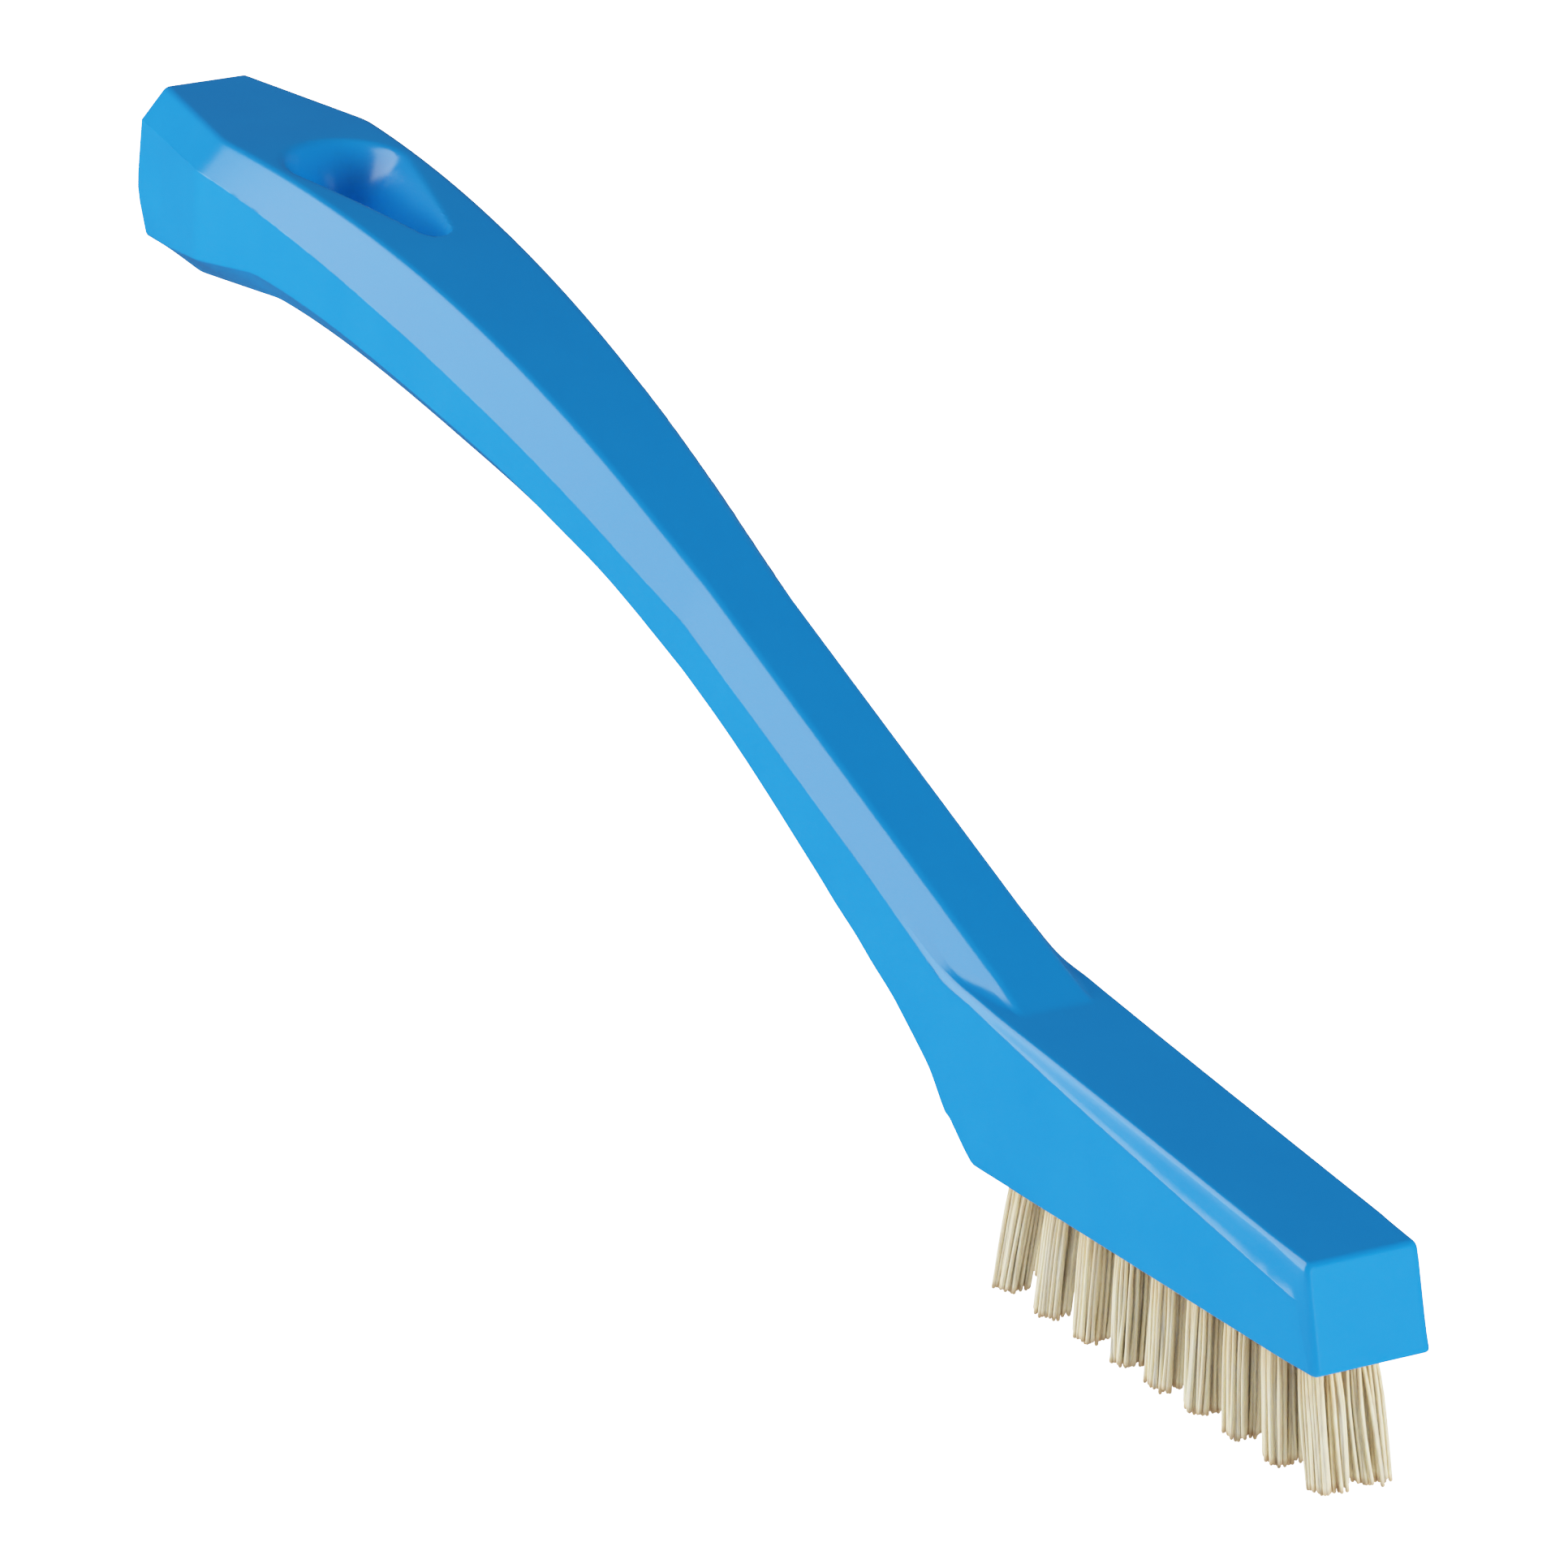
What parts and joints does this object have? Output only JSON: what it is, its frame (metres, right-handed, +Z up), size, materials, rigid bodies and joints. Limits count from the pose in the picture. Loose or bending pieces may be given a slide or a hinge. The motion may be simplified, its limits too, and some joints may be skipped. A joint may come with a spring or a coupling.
{
  "type": "crevice brush",
  "caption": "Slim cleaning brush with a faceted S-curved handle, a flared teardrop hang hole in its tail and short stiff bristle tufts in rows under a narrow angled head.",
  "frame": {"origin": "middle of the brush's length and width, level with the cut tips of the bristles that it stands on", "axes": "+X runs from the tail to the nose, +Y across the handle to the left tuft row, +Z up, away from the bristle tips"},
  "size_m": [0.2036, 0.0212, 0.0697],
  "materials": {
    "handle_plastic": "smooth moulded, semi-gloss sky blue",
    "bristle": "translucent natural nylon, straw coloured",
    "anchor_steel": "flat drawn strip"
  },
  "bodies": {
    "root": {"handle": "handle_plastic", "tuft_left_1": "bristle", "tuft_left_2": "bristle", "tuft_left_3": "bristle", "tuft_left_4": "bristle", "tuft_left_5": "bristle", "tuft_left_6": "bristle", "tuft_left_7": "bristle", "tuft_left_8": "bristle", "tuft_left_9": "bristle", "tuft_right_1": "bristle", "tuft_right_2": "bristle", "tuft_right_3": "bristle", "tuft_right_4": "bristle", "tuft_right_5": "bristle", "tuft_right_6": "bristle", "tuft_right_7": "bristle", "tuft_right_8": "bristle", "tuft_right_9": "bristle", "anchor_staples": "anchor_steel"}
  },
  "joints": []
}
